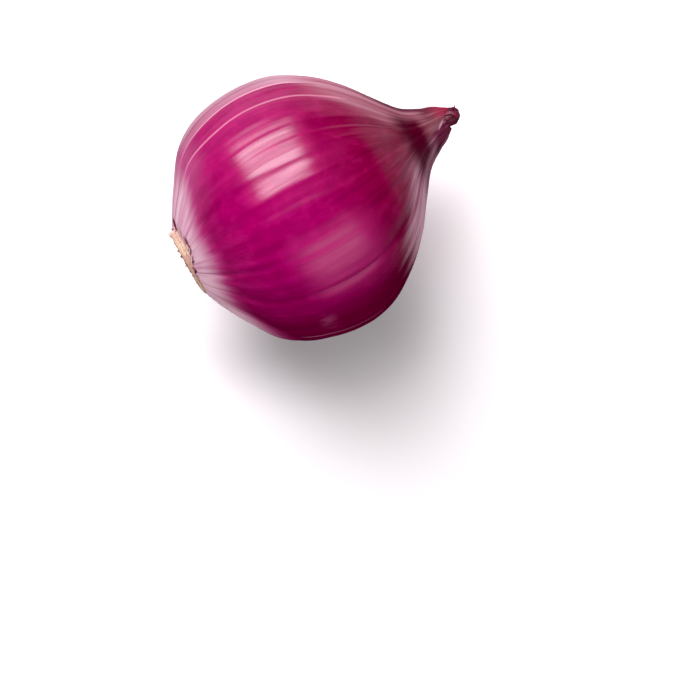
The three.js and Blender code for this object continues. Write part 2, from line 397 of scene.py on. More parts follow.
def made_by(piece, tree, values):
    """Runs a tree on a piece with these values, and keeps the result as its plain mesh."""
    modifier = piece.modifiers.new(tree.name, "NODES")
    modifier.node_group = tree
    for item in tree.interface.items_tree:
        if item.item_type == "SOCKET" and item.in_out == "INPUT" and item.name in values:
            modifier[item.identifier] = values[item.name]
    graph = bpy.context.evaluated_depsgraph_get()
    mesh = bpy.data.meshes.new_from_object(
        piece.evaluated_get(graph), preserve_all_data_layers=True, depsgraph=graph
    )
    piece.modifiers.clear()
    piece.data = mesh
    mesh.name = piece.name
    mesh.shade_smooth()
    return piece


def noise_at(tree, place, detail, roughness):
    """Noise at a place that three values give."""
    vector = add(tree, "ShaderNodeCombineXYZ", dict(enumerate(place))).outputs[0]
    cloud = {"Vector": vector, "Scale": 1.0, "Detail": detail, "Roughness": roughness}
    return add(tree, "ShaderNodeTexNoise", cloud).outputs[0]


def finish_tree(tree, geometry, material):
    """Ends a tree with real meshes instead of copies, in this material."""
    whole = add(tree, "GeometryNodeRealizeInstances", {"Geometry": geometry})
    parts = {"Geometry": whole.outputs[0], "Material": material}
    dressed = add(tree, "GeometryNodeSetMaterial", parts)
    tree.links.new(dressed.outputs[0], tree.nodes.new("NodeGroupOutput").inputs[0])
    return tree


def vein_tree():
    """Raises fine lengthwise veins, low on the belly and crowded into pleats on the neck."""
    tree = bpy.data.node_groups.new("Fine_veins", "GeometryNodeTree")
    tree_sockets(
        tree,
        {
            "Geometry": ("Geometry", None),
            "Vein density": ("Float", 7.0),
            "Height on belly": ("Float", 0.00003),
            "Height on neck": ("Float", 0.0001),
            "Material": ("Material", None),
        },
        Skin="Geometry",
    )
    given = tree.nodes.new("NodeGroupInput").outputs
    place = add(tree, "GeometryNodeInputNamedAttribute", {"Name": "vein_place"}, data_type="FLOAT_VECTOR")
    parts = add(tree, "ShaderNodeSeparateXYZ", {"Vector": place.outputs["Attribute"]})
    cosine, sine, along = parts.outputs
    around = [calc(tree, "MULTIPLY", part, given["Vein density"]) for part in (cosine, sine)]
    cloud = noise_at(tree, (*around, calc(tree, "MULTIPLY", along, 0.02)), 2.5, 0.6)
    centred = calc(tree, "ABSOLUTE", calc(tree, "SUBTRACT", cloud, 0.5))
    vein = calc(tree, "SUBTRACT", 1.0, ramp(tree, centred, 0.0, 0.14))
    neck = ramp(tree, along, 28.0, 39.0)
    root = ramp(tree, along, 0.3, 5.0)
    height = add(
        tree,
        "ShaderNodeMix",
        {0: neck, 2: given["Height on belly"], 3: given["Height on neck"]},
        data_type="FLOAT",
    )
    mouth = ramp(tree, along, 44.2, 37.0, 0.1, 1.0)
    lift = product(tree, height.outputs[0], calc(tree, "SUBTRACT", vein, 0.5), root, mouth)
    normal = tree.nodes.new("GeometryNodeInputNormal")
    offset = add(
        tree, "ShaderNodeVectorMath", {0: normal.outputs[0], "Scale": lift}, operation="SCALE"
    )
    above = add(tree, "GeometryNodeInputPosition")
    height_above = add(tree, "ShaderNodeSeparateXYZ", {0: above.outputs[0]}).outputs[2]
    resting = calc(tree, "GREATER_THAN", height_above, 0.00005)
    moved = add(
        tree,
        "GeometryNodeSetPosition",
        {"Geometry": given["Geometry"], "Selection": resting, "Offset": offset.outputs[0]},
    )
    return finish_tree(tree, moved.outputs[0], given["Material"])


def srgb(red, green, blue):
    """A given colour, as the linear values that a shader takes."""
    parts = [c / 255 for c in (red, green, blue)]
    return (*(c / 12.92 if c <= 0.04045 else ((c + 0.055) / 1.055) ** 2.4 for c in parts), 1)


def streak_group():
    """Lengthwise fibres: noise drawn out along the bulb, and gathered where it narrows."""
    group = bpy.data.node_groups.new("Lengthwise_streaks", "ShaderNodeTree")
    tree_sockets(
        group,
        {
            "Place": ("Vector", None),
            "Around": ("Float", 20.0),
            "Along": ("Float", 0.06),
            "Detail": ("Float", 3.0),
            "Seed": ("Float", 0.0),
        },
        Value="Float",
    )
    given = group.nodes.new("NodeGroupInput").outputs
    cosine, sine, along = add(group, "ShaderNodeSeparateXYZ", {0: given["Place"]}).outputs
    around = [calc(group, "MULTIPLY", part, given["Around"]) for part in (cosine, sine)]
    shifted = calc(group, "ADD", calc(group, "MULTIPLY", along, given["Along"]), given["Seed"])
    cloud = noise_at(group, (*around, shifted), given["Detail"], 0.55)
    group.links.new(cloud, group.nodes.new("NodeGroupOutput").inputs[0])
    return group


STREAKS = streak_group()


def streaks(tree, place, around, along, detail, seed):
    inputs = {"Place": place, "Around": around, "Along": along, "Detail": detail, "Seed": seed}
    return add(tree, "ShaderNodeGroup", inputs, node_tree=STREAKS).outputs[0]


def blend(tree, share, first, second):
    """The first colour, going over to the second as the share goes from 0 to 1."""
    node = add(tree, "ShaderNodeMix", {0: share, 6: first, 7: second}, data_type="RGBA")
    return node.outputs[2]


def painted(tree, colour, *coats):
    """A colour with others over it in turn: (the share that each one covers, its colour)."""
    for share, over in coats:
        colour = blend(tree, share, colour, over)
    return colour


def band(tree, value, middle, outer, inner, start=0.0, end=1.0):
    """A smooth step from start to end where the value comes near its middle, from both sides."""
    off = calc(tree, "ABSOLUTE", calc(tree, "SUBTRACT", value, middle))
    return ramp(tree, off, outer, inner, start, end)


def mark(tree, name):
    return add(tree, "ShaderNodeAttribute", attribute_name=name).outputs["Fac"]


def new_material(name, roughness, specular=0.5):
    """A material with its tree, and the shader in it."""
    material = bpy.data.materials.new(name)
    material.use_nodes = True
    shader = material.node_tree.nodes["Principled BSDF"]
    shader.inputs["Roughness"].default_value = roughness
    shader.inputs["Specular IOR Level"].default_value = specular
    return material, material.node_tree, shader


def bumped(tree, shader, height, distance, strength=1.0):
    node = add(
        tree, "ShaderNodeBump", {"Height": height, "Distance": distance, "Strength": strength}
    )
    tree.links.new(node.outputs[0], shader.inputs["Normal"])


# Kinds of streaks in the skin: how many round the bulb, how fine along it, detail and seed.
SKIN_STREAKS = {
    "fine": (26, 0.06, 3, 0),
    "broad": (7, 0.035, 2, 7),
    "blotch": (2.2, 0.09, 2, 3),
    "pleats": (12, 0.06, 3, 11),
    "coarse": (3.6, 0.16, 3, 9),
    "mottle": (9, 0.55, 4, 13),
    "worn": (13, 0.4, 2, 2),
    "cells": (90, 1.2, 2, 5),
    "fibres": (60, 0.1, 3, 5),
}


def skin_fields(tree):
    """What the colours are worked out from: where a place is on the bulb, and streaks along it.

    Along is in millimetres from the root. Turn is in degrees from the top, positive to the far
    side, and side is the same but comes back to none underneath.
    """
    place = add(tree, "ShaderNodeAttribute", attribute_name="vein_place").outputs["Vector"]
    cosine, sine, along = add(tree, "ShaderNodeSeparateXYZ", {0: place}).outputs
    at = SimpleNamespace(along=along)
    at.turn = calc(tree, "MULTIPLY", calc(tree, "ARCTAN2", sine, cosine), 180 / math.pi)
    at.off_top = calc(tree, "ABSOLUTE", at.turn)
    at.side = calc(tree, "MULTIPLY", at.turn, ramp(tree, at.off_top, 165, 105))
    for name, kind in SKIN_STREAKS.items():
        setattr(at, name, streaks(tree, place, *kind))
    at.mixed = total(tree, (at.fine, 0.5), (at.broad, 0.5))
    at.frayed = total(tree, (at.fine, 3.2), (at.broad, 3.2), offset=-3.2)

    # How far a place is past the pale root end, and past where the neck begins to be dry
    pale_to = total(
        tree,
        (ramp(tree, at.side, 10, 48), 2.2),
        (ramp(tree, at.side, -5, -45), -0.5),
        (ramp(tree, at.side, -56, -84), 2.9),
        offset=2.95,
    )
    at.past_root = calc(tree, "SUBTRACT", total(tree, (along, 1.0), (at.frayed, 0.55)), pale_to)
    dry_from = total(
        tree,
        (ramp(tree, at.side, 22, 60), -7.6),
        (ramp(tree, at.side, -25, -60), -5.0),
        offset=32.8,
    )
    loose = calc(tree, "MULTIPLY", at.frayed, ramp(tree, at.side, -20, -55, 1.0, 2.4))
    at.dried = calc(tree, "SUBTRACT", total(tree, (along, 1.0), (loose, 1.0)), dry_from)
    return at


def belly_colour(tree, at):
    """Magenta, redder toward the neck, with dull and bright spots, painted highlights, and painted shade
    low on the near side and in its creases.
    """
    fibres = ramp(tree, at.mixed, 0.34, 0.66)
    toward_neck = total(tree, (at.along, 1.0), (at.broad, 8.0), offset=-4.0)
    colour = blend(
        tree,
        ramp(tree, toward_neck, 16, 30),
        blend(tree, fibres, srgb(148, 0, 82), srgb(170, 4, 100)),
        blend(tree, fibres, srgb(122, 0, 51), srgb(144, 0, 65)),
    )
    rosy = total(tree, (ramp(tree, at.blotch, 0.5, 0.75), 0.15), (ramp(tree, at.side, 24, 50), 0.22))
    # Painted highlight: brighter magenta under the window light's reflection, high on the far side of the
    # belly.
    painted_upper_highlight = product(
        tree,
        band(tree, at.side, 18, 22, 10),
        ramp(tree, at.along, 24, 20),
        ramp(tree, at.along, 9, 13, 0.0, 0.22),
    )
    # Painted highlight: pinker magenta under the near light's reflection, low on the near side of the
    # belly.
    painted_near_highlight = product(
        tree,
        band(tree, at.side, -32, 22, 8),
        ramp(tree, at.along, 28, 22),
        ramp(tree, at.along, 10, 17, 0.0, 0.65),
    )
    # Painted shade in the creases of the skin.
    crease = product(
        tree, ramp(tree, mark(tree, "crease"), 0.06, 0.3), ramp(tree, at.along, 3, 13, 0.2, 0.5)
    )
    return painted(
        tree,
        colour,
        (rosy, srgb(196, 62, 128)),
        (ramp(tree, at.mottle, 0.56, 0.4, 0.0, 0.14), srgb(110, 0, 62)),
        (ramp(tree, at.mottle, 0.5, 0.68, 0.0, 0.17), srgb(200, 36, 122)),
        (painted_upper_highlight, srgb(204, 26, 118)),
        (painted_near_highlight, srgb(200, 46, 124)),
        # Painted shade: darker red low on the near side, away from the light.
        (ramp(tree, at.side, -44, -66, 0.0, 0.75), srgb(100, 0, 36)),
        (crease, srgb(84, 0, 40)),
    )


def far_side_over(tree, at, colour):
    """The outer skin is thin and dry down the far side, and pale mauve."""
    wavy = total(tree, (at.turn, 1.0), (at.blotch, 3.0), offset=-1.5)
    shown = product(tree, ramp(tree, wavy, 58.8, 60.2), ramp(tree, at.turn, 165, 112))
    mauve = blend(tree, ramp(tree, at.mixed, 0.36, 0.6), srgb(172, 84, 122), srgb(196, 128, 154))
    paler = total(tree, (ramp(tree, at.turn, 69, 77), 0.75), (ramp(tree, at.along, 19, 25), 0.5))
    return blend(tree, shown, colour, blend(tree, paler, mauve, srgb(220, 174, 190)))


def root_end_over(tree, at, colour):
    """Pale where the skins leave the plate, brighter on the near side as painted light, with painted
    shade in the folds that run in from its edge.
    """
    ivory = painted(
        tree,
        blend(tree, ramp(tree, at.mixed, 0.36, 0.64), srgb(208, 150, 176), srgb(234, 202, 214)),
        (ramp(tree, at.pleats, 0.5, 0.66, 0.0, 0.55), srgb(186, 92, 138)),
        # Painted light: the pale skin is made brighter on the near side.
        (ramp(tree, at.side, -8, -42, 0.0, 0.75), srgb(250, 206, 222)),
    )
    glow = product(tree, ramp(tree, at.past_root, 5, 0), ramp(tree, at.side, 10, 55, 0.0, 0.45))
    edge = calc(tree, "DIVIDE", at.past_root, ramp(tree, at.off_top, 40, 90, 1.0, 2.2))
    # Painted shade in the folds that run in from the plate's edge.
    fold = product(
        tree, ramp(tree, mark(tree, "fold"), 0.15, 0.8), ramp(tree, at.along, 7.5, 3.5, 0.0, 0.5)
    )
    return painted(
        tree,
        colour,
        (glow, srgb(210, 120, 166)),
        (ramp(tree, edge, 1.9, 0.2, 0.0, 0.8), srgb(184, 62, 126)),
        (ramp(tree, edge, 1.0, -1.5), ivory),
        (fold, srgb(128, 24, 76)),
    )


def neck_over(tree, at, colour):
    """Dried brown and papery, paler down both sides, with light and dark pleats; the pale paper low on
    the near side is partly painted reflection.
    """
    light_pleats = ramp(tree, at.pleats, 0.38, 0.64)
    top = blend(tree, ramp(tree, at.coarse, 0.34, 0.62), srgb(118, 36, 58), srgb(154, 82, 100))
    near = painted(
        tree,
        blend(tree, light_pleats, srgb(156, 80, 106), srgb(214, 168, 188)),
        # Pale paper low on the near side: its own colour, made paler still as painted reflection of the
        # table.
        (ramp(tree, at.side, -46, -64, 0.0, 0.6), srgb(236, 194, 210)),
        (ramp(tree, at.fine, 0.48, 0.66, 0.0, 0.45), srgb(150, 56, 92)),
    )
    far = blend(tree, light_pleats, srgb(164, 96, 114), srgb(190, 134, 150))
    limb = product(tree, ramp(tree, at.along, 30, 37), ramp(tree, at.side, 58, 72, 0.0, 0.95))
    far = blend(tree, limb, far, srgb(96, 32, 54))
    paper = painted(
        tree, top, (ramp(tree, at.side, -2, -42), near), (ramp(tree, at.side, 16, 54), far)
    )
    all_dry = ramp(tree, at.side, -10, -45, 4.5, 3.8)
    return blend(tree, ramp(tree, at.dried, -1.4, all_dry), colour, paper)


def collar_over(tree, at, colour):
    """The darkest ring round the neck, and the collar past it with a painted glint on its top, and its
    near edge rolled over.
    """
    ring = product(
        tree,
        ramp(tree, at.along, 34.6, 37.4),
        ramp(tree, at.along, 41.2, 38.8),
        ramp(tree, at.side, 64, 32, 0.25, 0.95),
        ramp(tree, at.side, -80, -30, 0.55, 1.0),
    )
    flush = product(tree, ramp(tree, at.along, 41.2, 44.2), ramp(tree, at.side, -4, 40, 0.0, 0.85))
    # Painted glint: a pale streak across the top of the collar, on a fold.
    slant = total(tree, (at.side, 1.0), (at.along, -15.5), offset=668.0)
    painted_glint = product(
        tree, band(tree, slant, 0, 5.5, 1.5), band(tree, at.along, 42.5, 0.9, 0.4, 0.0, 0.85)
    )
    collar = painted(
        tree,
        blend(tree, ramp(tree, at.coarse, 0.34, 0.62), srgb(96, 32, 50), srgb(138, 86, 96)),
        (ramp(tree, at.side, -4, -40, 0.0, 0.85), srgb(116, 42, 72)),
        (ramp(tree, at.side, 52, 72, 0.0, 0.7), srgb(84, 16, 42)),
        (flush, srgb(160, 40, 72)),
        (painted_glint, srgb(196, 158, 182)),
    )
    uneven = total(tree, (at.along, 1.0), (at.coarse, 3.0), offset=-1.5)
    winding = total(tree, (at.turn, 1.0), (at.along, 2.4), offset=12.0)
    rolled = product(
        tree,
        ramp(tree, winding, 34, 28),
        ramp(tree, at.along, 39, 41),
        ramp(tree, at.turn, -120, -100, 0.0, 0.9),
    )
    return painted(
        tree,
        colour,
        (ring, srgb(76, 2, 28)),
        (ramp(tree, uneven, 39, 41.2), collar),
        (rolled, srgb(52, 4, 28)),
        (ramp(tree, mark(tree, "collar_edge"), 0.4, 0.9, 0.0, 0.7), srgb(150, 96, 112)),
    )


def edges_over(tree, at, colour):
    """A pale spot low on the near side, the thin edges of the skins, and painted shadow in the tears at
    the plate.
    """
    # A pale, uneven spot low on the near side.
    pale_spot = product(
        tree,
        band(tree, at.along, 13.6, 2.0, 0.1),
        band(tree, at.turn, -65, 11, 1),
        ramp(tree, at.worn, 0.36, 0.66, 0.1, 0.5),
    )
    return painted(
        tree,
        colour,
        (pale_spot, srgb(186, 84, 126)),
        (ramp(tree, mark(tree, "inner_edge"), 0.3, 0.95, 0.0, 0.6), srgb(228, 150, 176)),
        (ramp(tree, mark(tree, "outer_edge"), 0.3, 0.95, 0.0, 0.75), srgb(236, 180, 200)),
        (ramp(tree, mark(tree, "lower_edge"), 0.3, 0.95, 0.0, 0.7), srgb(206, 130, 160)),
        # Painted shadow in the tears, under the lifted edge of the skin.
        (ramp(tree, mark(tree, "tear"), 0.15, 0.7), srgb(112, 4, 44)),
    )


def skin_material():
    """Glossy skin over the belly, less so by the root and hardly at all where it is dry."""
    material, tree, shader = new_material("Shallot_skin", 0.4, 0.1)
    at = skin_fields(tree)
    colour = belly_colour(tree, at)
    for over in (far_side_over, root_end_over, neck_over, collar_over, edges_over):
        colour = over(tree, at, colour)
    tree.links.new(colour, shader.inputs["Base Color"])
    rough = total(
        tree,
        (ramp(tree, at.broad, 0.35, 0.65), 0.1),
        (ramp(tree, at.dried, -1, 3), 0.25),
        offset=0.38,
    )
    tree.links.new(rough, shader.inputs["Roughness"])
    grained = total(tree, (at.pleats, 0.4), (at.fine, 0.6))
    shine = product(
        tree,
        ramp(tree, at.dried, 4, -2, 0.03, 1.0),
        ramp(tree, at.past_root, -2, 2, 0.3, 1.0),
        ramp(tree, grained, 0.42, 0.6, 0.5, 1.0),
        ramp(tree, at.side, 5, -15, 1.0, 0.5),
    )
    tree.links.new(shine, shader.inputs["Coat Weight"])
    shader.inputs["Coat IOR"].default_value = 1.6
    shader.inputs["Coat Roughness"].default_value = 0.18
    bumped(tree, shader, total(tree, (at.fibres, 0.7), (at.cells, 0.3)), 0.00006, 0.6)
    return material


bulb = made_by(
    bulb,
    vein_tree(),
    {
        "Vein density": 7.0,
        "Height on belly": 0.09 * MM,
        "Height on neck": 0.05 * MM,
        "Material": skin_material(),
    },
)
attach(bulb, "root")
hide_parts("bulb_skins")


# The root plate
# The short corky stem that the skins grow from, dried to a tan disc with a worn margin. The
# roots were cut off close to it, and dry shreds of the outermost skin hang on round its edge.
PLATE_OUTLINE = [
    (1.45, 4.9),
    (1.3, 5.15),
    (1.05, 5.28),
    (0.6, 5.28),
    (0.2, 5.24),
    (-0.12, 5.12),
    (-0.26, 4.85),
    (-0.2, 4.45),
    (0.08, 3.9),
    (0.32, 2.8),
    (0.4, 1.4),
    (0.4, 0.3),
]
PLATE_ROWS = 72
PLATE_COLUMNS = 240
plate_rows = outline_at(PLATE_OUTLINE, np.linspace(0, 1, PLATE_ROWS))
plate_angle = np.arange(PLATE_COLUMNS) * TURN / PLATE_COLUMNS
x, a = np.meshgrid(plate_rows[:, 0], plate_angle, indexing="ij")
radius = np.repeat(plate_rows[:, 1:], PLATE_COLUMNS, axis=1)
margin = smoothstep(3.6, 5.0, radius)
uneven = 0.08 * np.sin(4 * a + 1) + 0.04 * np.sin(9 * a + 2)
rough = np.array(
    [
        noise.fractal(Vector((u * 1.3, v * 1.3, w * 1.3)), 0.9, 2.1, 4)
        for u, v, w in zip(x.ravel(), (radius * np.sin(a)).ravel(), (radius * np.cos(a)).ravel())
    ]
).reshape(x.shape)
fibre_ridges = np.abs(np.sin(30 * a + 3 * np.sin(5 * a))) * margin
layer = (x + 0.12 * np.sin(3 * a) + 0.07 * np.sin(8 * a + 1) + 0.1 * rough) / 0.46
between_layers = np.exp(-(((layer - np.round(layer)) / 0.16) ** 2)) * margin
radius = radius + (uneven + 0.12 * rough - 0.04 * fibre_ridges - 0.12 * between_layers) * margin
x = x + 0.12 * rough * (1 - 0.6 * margin) + 0.025 * fibre_ridges
lip = np.exp(-(((np.degrees(a) - 82) / 15) ** 2)) * smoothstep(4.2, 5.1, radius)
x = x - 0.3 * lip * smoothstep(1.3, 0.0, x)
sunk = np.exp(-(((np.degrees(a) - 272) / 45) ** 2)) * smoothstep(4.0, 5.0, radius)
x = x + 0.3 * sunk * smoothstep(1.3, 0.0, x)
plate_grid = np.stack([x, plate_side + radius * np.sin(a), radius * np.cos(a)], -1)
plate_points, plate_faces = closed_grid(
    plate_grid, (1.45, plate_side, 0), (x[-1].mean(), plate_side, 0)
)
plate_points = laid_down(plate_points) + lies_at
plate_faces = [tuple(reversed(face)) for face in plate_faces]
plate_marks = {"from_middle": radius / 5.4, "layer": layer, "between_layers": between_layers, "lip": lip}
plate_marks = {name: np.pad(values.ravel(), 1) for name, values in plate_marks.items()}
plate = in_scene(
    "root_plate_fine", mesh_of("root_plate_fine", plate_points, plate_faces, plate_marks)
)


def grains(tree, scale, detail):
    """Noise in a piece's own space."""
    place = add(tree, "ShaderNodeTexCoord").outputs["Object"]
    cloud = {"Vector": place, "Scale": scale, "Detail": detail}
    return add(tree, "ShaderNodeTexNoise", cloud).outputs[0]


def cork_material():
    """Tan cork, matt and fibrous: pale yellow, pinker in its outer layers, brown between them."""
    material, tree, shader = new_material("Root_cork", 0.85, 0.2)
    spots = grains(tree, 420.0, 4.0)
    dirt = grains(tree, 2600.0, 3.0)
    colour = painted(
        tree,
        blend(tree, ramp(tree, spots, 0.38, 0.62), srgb(202, 164, 150), srgb(220, 196, 168)),
        (ramp(tree, mark(tree, "layer"), 1.0, 2.2, 0.0, 0.85), srgb(218, 190, 184)),
        (ramp(tree, mark(tree, "from_middle"), 0.85, 0.6, 0.0, 0.6), srgb(176, 124, 92)),
        (ramp(tree, mark(tree, "lip"), 0.2, 0.7, 0.0, 0.85), srgb(232, 218, 212)),
        (ramp(tree, dirt, 0.52, 0.7, 0.0, 0.35), srgb(150, 98, 76)),
        (ramp(tree, mark(tree, "between_layers"), 0.3, 1.0, 0.0, 0.5), srgb(168, 104, 84)),
    )
    tree.links.new(colour, shader.inputs["Base Color"])
    bumped(tree, shader, dirt, 0.0001, 0.6)
    return material


CORK = cork_material()
plate.data.materials.append(CORK)
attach(plate, "root")
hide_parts("root_plate")


def stub_mesh():
    """One cut root: a short tapered tube, sunk at its end where the inside has dried."""
    rings = [(-0.3, 1.1), (0.3, 0.8), (1.0, 0.66), (1.5, 0.6), (1.6, 0.5), (1.4, 0.3)]
    sides = 14
    a = np.arange(sides) * TURN / sides
    grid = np.stack(
        [
            np.stack([r * np.cos(a) * (1 + 0.08 * np.sin(3 * a)), r * np.sin(a), np.full(sides, h)], -1)
            for h, r in rings
        ]
    )
    points, faces = closed_grid(grid, (0, 0, -0.3), (0, 0, 1.35))
    faces = [tuple(reversed(f)) for f in faces]
    return mesh_of("cut_root", points * 0.34, faces)


def shred_mesh():
    """One shred of dry skin: a thin strip that narrows to a point and lifts at its end."""
    rows = [(0.0, 0.5), (0.25, 0.46), (0.5, 0.4), (0.72, 0.28), (0.9, 0.16), (1.0, 0.05)]
    a = np.arange(10) * TURN / 10
    grid = np.stack(
        [
            np.stack(
                [
                    np.full(10, x),
                    0.3 * half * np.sin(a) + 0.05 * math.sin(5 * x),
                    0.04 * np.cos(a) + 0.12 * x * x,
                ],
                -1,
            )
            for x, half in rows
        ]
    )
    points, faces = closed_grid(grid, grid[0].mean(0), grid[-1].mean(0))
    return mesh_of("dry_shred", points, faces)


def scatter_tree(name):
    """Sets copies of a small piece on a surface, turned and sized by chance, combed or not."""
    tree = bpy.data.node_groups.new(name, "GeometryNodeTree")
    tree_sockets(
        tree,
        {
            "Geometry": ("Geometry", None),
            "Piece": ("Object", None),
            "Spacing": ("Float", 0.001),
            "Density": ("Float", 500000.0),
            "Seed": ("Int", 1),
            "Smallest": ("Float", 0.7),
            "Largest": ("Float", 1.2),
            "Lean": ("Float", 0.3),
            "Spin": ("Float", math.pi),
            "Combed": ("Float", 0.0),
            "Toward": ("Vector", None),
            "Material": ("Material", None),
        },
        Result="Geometry",
    )
    given = tree.nodes.new("NodeGroupInput").outputs
    spread = add(
        tree,
        "GeometryNodeDistributePointsOnFaces",
        {
            "Mesh": given["Geometry"],
            "Distance Min": given["Spacing"],
            "Density Max": given["Density"],
            "Seed": given["Seed"],
        },
        distribute_method="POISSON",
    )
    piece = add(tree, "GeometryNodeObjectInfo", {"Object": given["Piece"]})
    size = add(
        tree,
        "FunctionNodeRandomValue",
        {2: given["Smallest"], 3: given["Largest"], "Seed": given["Seed"]},
        data_type="FLOAT",
    )
    high = add(tree, "ShaderNodeCombineXYZ", {0: given["Lean"], 1: given["Lean"], 2: given["Spin"]})
    low = add(tree, "ShaderNodeVectorMath", {0: high.outputs[0], "Scale": -1.0}, operation="SCALE")
    turns = add(
        tree,
        "FunctionNodeRandomValue",
        {0: low.outputs[0], 1: high.outputs[0], "Seed": given["Seed"]},
        data_type="FLOAT_VECTOR",
    )
    combed = add(
        tree,
        "FunctionNodeAlignRotationToVector",
        {
            "Rotation": spread.outputs["Rotation"],
            "Factor": given["Combed"],
            "Vector": given["Toward"],
        },
        axis="X",
        pivot_axis="Z",
    )
    copies = add(
        tree,
        "GeometryNodeInstanceOnPoints",
        {
            "Points": spread.outputs["Points"],
            "Instance": piece.outputs["Geometry"],
            "Rotation": combed.outputs[0],
            "Scale": size.outputs[1],
        },
    )
    turned = add(
        tree,
        "GeometryNodeRotateInstances",
        {"Instances": copies.outputs[0], "Rotation": turns.outputs[0]},
    )
    return finish_tree(tree, turned.outputs[0], given["Material"])


def patch(points, kept):
    """Only the kept faces, as a mesh of their own to scatter on."""
    used = sorted({i for face in kept for i in face})
    renamed = {old: new for new, old in enumerate(used)}
    return mesh_of("patch", points[used], [tuple(renamed[i] for i in face) for face in kept])


# Roots grow from the end of the plate, and not from its rim or its back
ROOTED_RADIUS = 3.75
ROOTED_DEPTH = 1.15
root_centre = laid_down([(-0.4, plate_side, 0)])[0] + lies_at
rooted = []
for face in plate_faces:
    deep, *off_middle = plate_points[list(face)].mean(0) - root_centre
    if deep < ROOTED_DEPTH and np.hypot(*off_middle) < ROOTED_RADIUS:
        rooted.append(face)
cut_root = in_scene("cut_root", stub_mesh())
roots = made_by(
    in_scene("root_stubs", patch(plate_points, rooted)),
    scatter_tree("Cut_roots"),
    {
        "Piece": cut_root,
        "Spacing": 0.9 * MM,
        "Density": 6000000.0,
        "Seed": 4,
        "Smallest": 0.6,
        "Largest": 1.1,
        "Lean": 0.3,
        "Spin": math.pi,
        "Combed": 0.0,
        "Material": CORK,
    },
)
bpy.data.objects.remove(cut_root)
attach(roots, "root")


def shred_material():
    """Thin dry skin, pinkish and pale, with faint fibres."""
    material, tree, shader = new_material("Dry_shred", 0.6, 0.2)
    fibres = grains(tree, 1100.0, 3.0)
    pale = ramp(tree, fibres, 0.36, 0.6)
    colour = blend(tree, pale, srgb(206, 140, 152), srgb(238, 208, 208))
    tree.links.new(colour, shader.inputs["Base Color"])
    bumped(tree, shader, fibres, 0.00005, 0.5)
    return material


# Shreds hang on along the torn margin of the skins, within this many millimetres of its edge
RIM_WIDTH = 0.35
on_rim = [face for face in faces if past_rim[list(face)].max() < RIM_WIDTH]
dry_shred = in_scene("dry_shred", shred_mesh())
shreds = made_by(
    in_scene("root_shreds", patch(points, on_rim)),
    scatter_tree("Dry_shreds"),
    {
        "Piece": dry_shred,
        "Spacing": 1.0 * MM,
        "Density": 1000000.0,
        "Seed": 2,
        "Smallest": 0.8,
        "Largest": 1.6,
        "Lean": 0.12,
        "Spin": 0.45,
        "Combed": 1.0,
        "Toward": (-math.cos(NECK_DIP), 0.0, math.sin(NECK_DIP)),
        "Material": shred_material(),
    },
)
bpy.data.objects.remove(dry_shred)
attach(shreds, "root")


# The withered tip
# What is left of the leaves: dried, twisted together and crumpled into a dark purple knot in
# the mouth of the neck, with a thread of leaf still standing on it.
KNOT_CENTRE = (44.85, -0.15, 0.62)
KNOT_RADIUS = 1.22
KNOT_ROWS = 100
KNOT_COLUMNS = 160
LEAVES = 3
LEAF_TWIST = 1.5
v, a = np.meshgrid(
    np.linspace(0.02, 0.98, KNOT_ROWS) * math.pi,
    np.arange(KNOT_COLUMNS) * TURN / KNOT_COLUMNS,
    indexing="ij",
)
direction = np.stack([-np.cos(v), np.sin(v) * np.sin(a), np.sin(v) * np.cos(a)], -1)
crumple = np.array(
    [
        noise.noise(Vector(d) * 1.6 + Vector((3, 1, 7))) + 0.35 * noise.noise(Vector(d) * 4.2)
        for d in direction.reshape(-1, 3)
    ]
).reshape(v.shape)
# Each leaf overlaps the next with an edge that winds round toward the tip
wound = (LEAVES * (a - LEAF_TWIST * np.cos(v) + 0.5 * crumple) / TURN + 0.15) % 1
overlap = smoothstep(0, 0.09, wound) * (1 - wound) ** 0.8
reach = KNOT_RADIUS * (0.93 + 0.17 * overlap * np.sin(v) + 0.16 * crumple)
knot_grid = direction * reach[..., None] * (1.0, 1.0, 0.95)
# The foot is drawn out into the neck
foot = smoothstep(-0.2, -1.4, knot_grid[..., 0])
knot_grid[..., 0] -= 1.6 * foot
knot_points, knot_faces = closed_grid(knot_grid, knot_grid[0].mean(0), knot_grid[-1].mean(0))
knot_points = knot_points + (KNOT_CENTRE[0], axis_side(45.0) + KNOT_CENTRE[1], KNOT_CENTRE[2])
ridge = np.pad((overlap + 0.4 * crumple).ravel(), 1, constant_values=0.3)
knot_points = laid_down(knot_points) + lies_at
knot = in_scene(
    "withered_tip_fine", mesh_of("withered_tip_fine", knot_points, knot_faces, {"ridge": ridge})
)


def withered_material():
    """Dried leaf, faintly shiny: nearly black purple in its folds as painted shade, and redder on its
    ridges as painted highlight.
    """
    material, tree, shader = new_material("Dried_leaf", 0.42, 0.35)
    spots = grains(tree, 900.0, 4.0)
    ridge = mark(tree, "ridge")
    colour = painted(
        tree,
        blend(tree, ramp(tree, spots, 0.35, 0.65), srgb(56, 6, 24), srgb(104, 24, 50)),
        # Painted highlight on the ridges of the crumpled leaf, and painted shade in its folds.
        (ramp(tree, ridge, 0.45, 0.95, 0.0, 0.8), srgb(126, 32, 60)),
        (ramp(tree, ridge, 0.12, -0.05, 0.0, 0.8), srgb(30, 2, 12)),
    )
    tree.links.new(colour, shader.inputs["Base Color"])
    bumped(tree, shader, spots, 0.0001, 0.5)
    return material


LEAF = withered_material()
knot.data.materials.append(LEAF)
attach(knot, "root")
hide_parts("withered_tip")

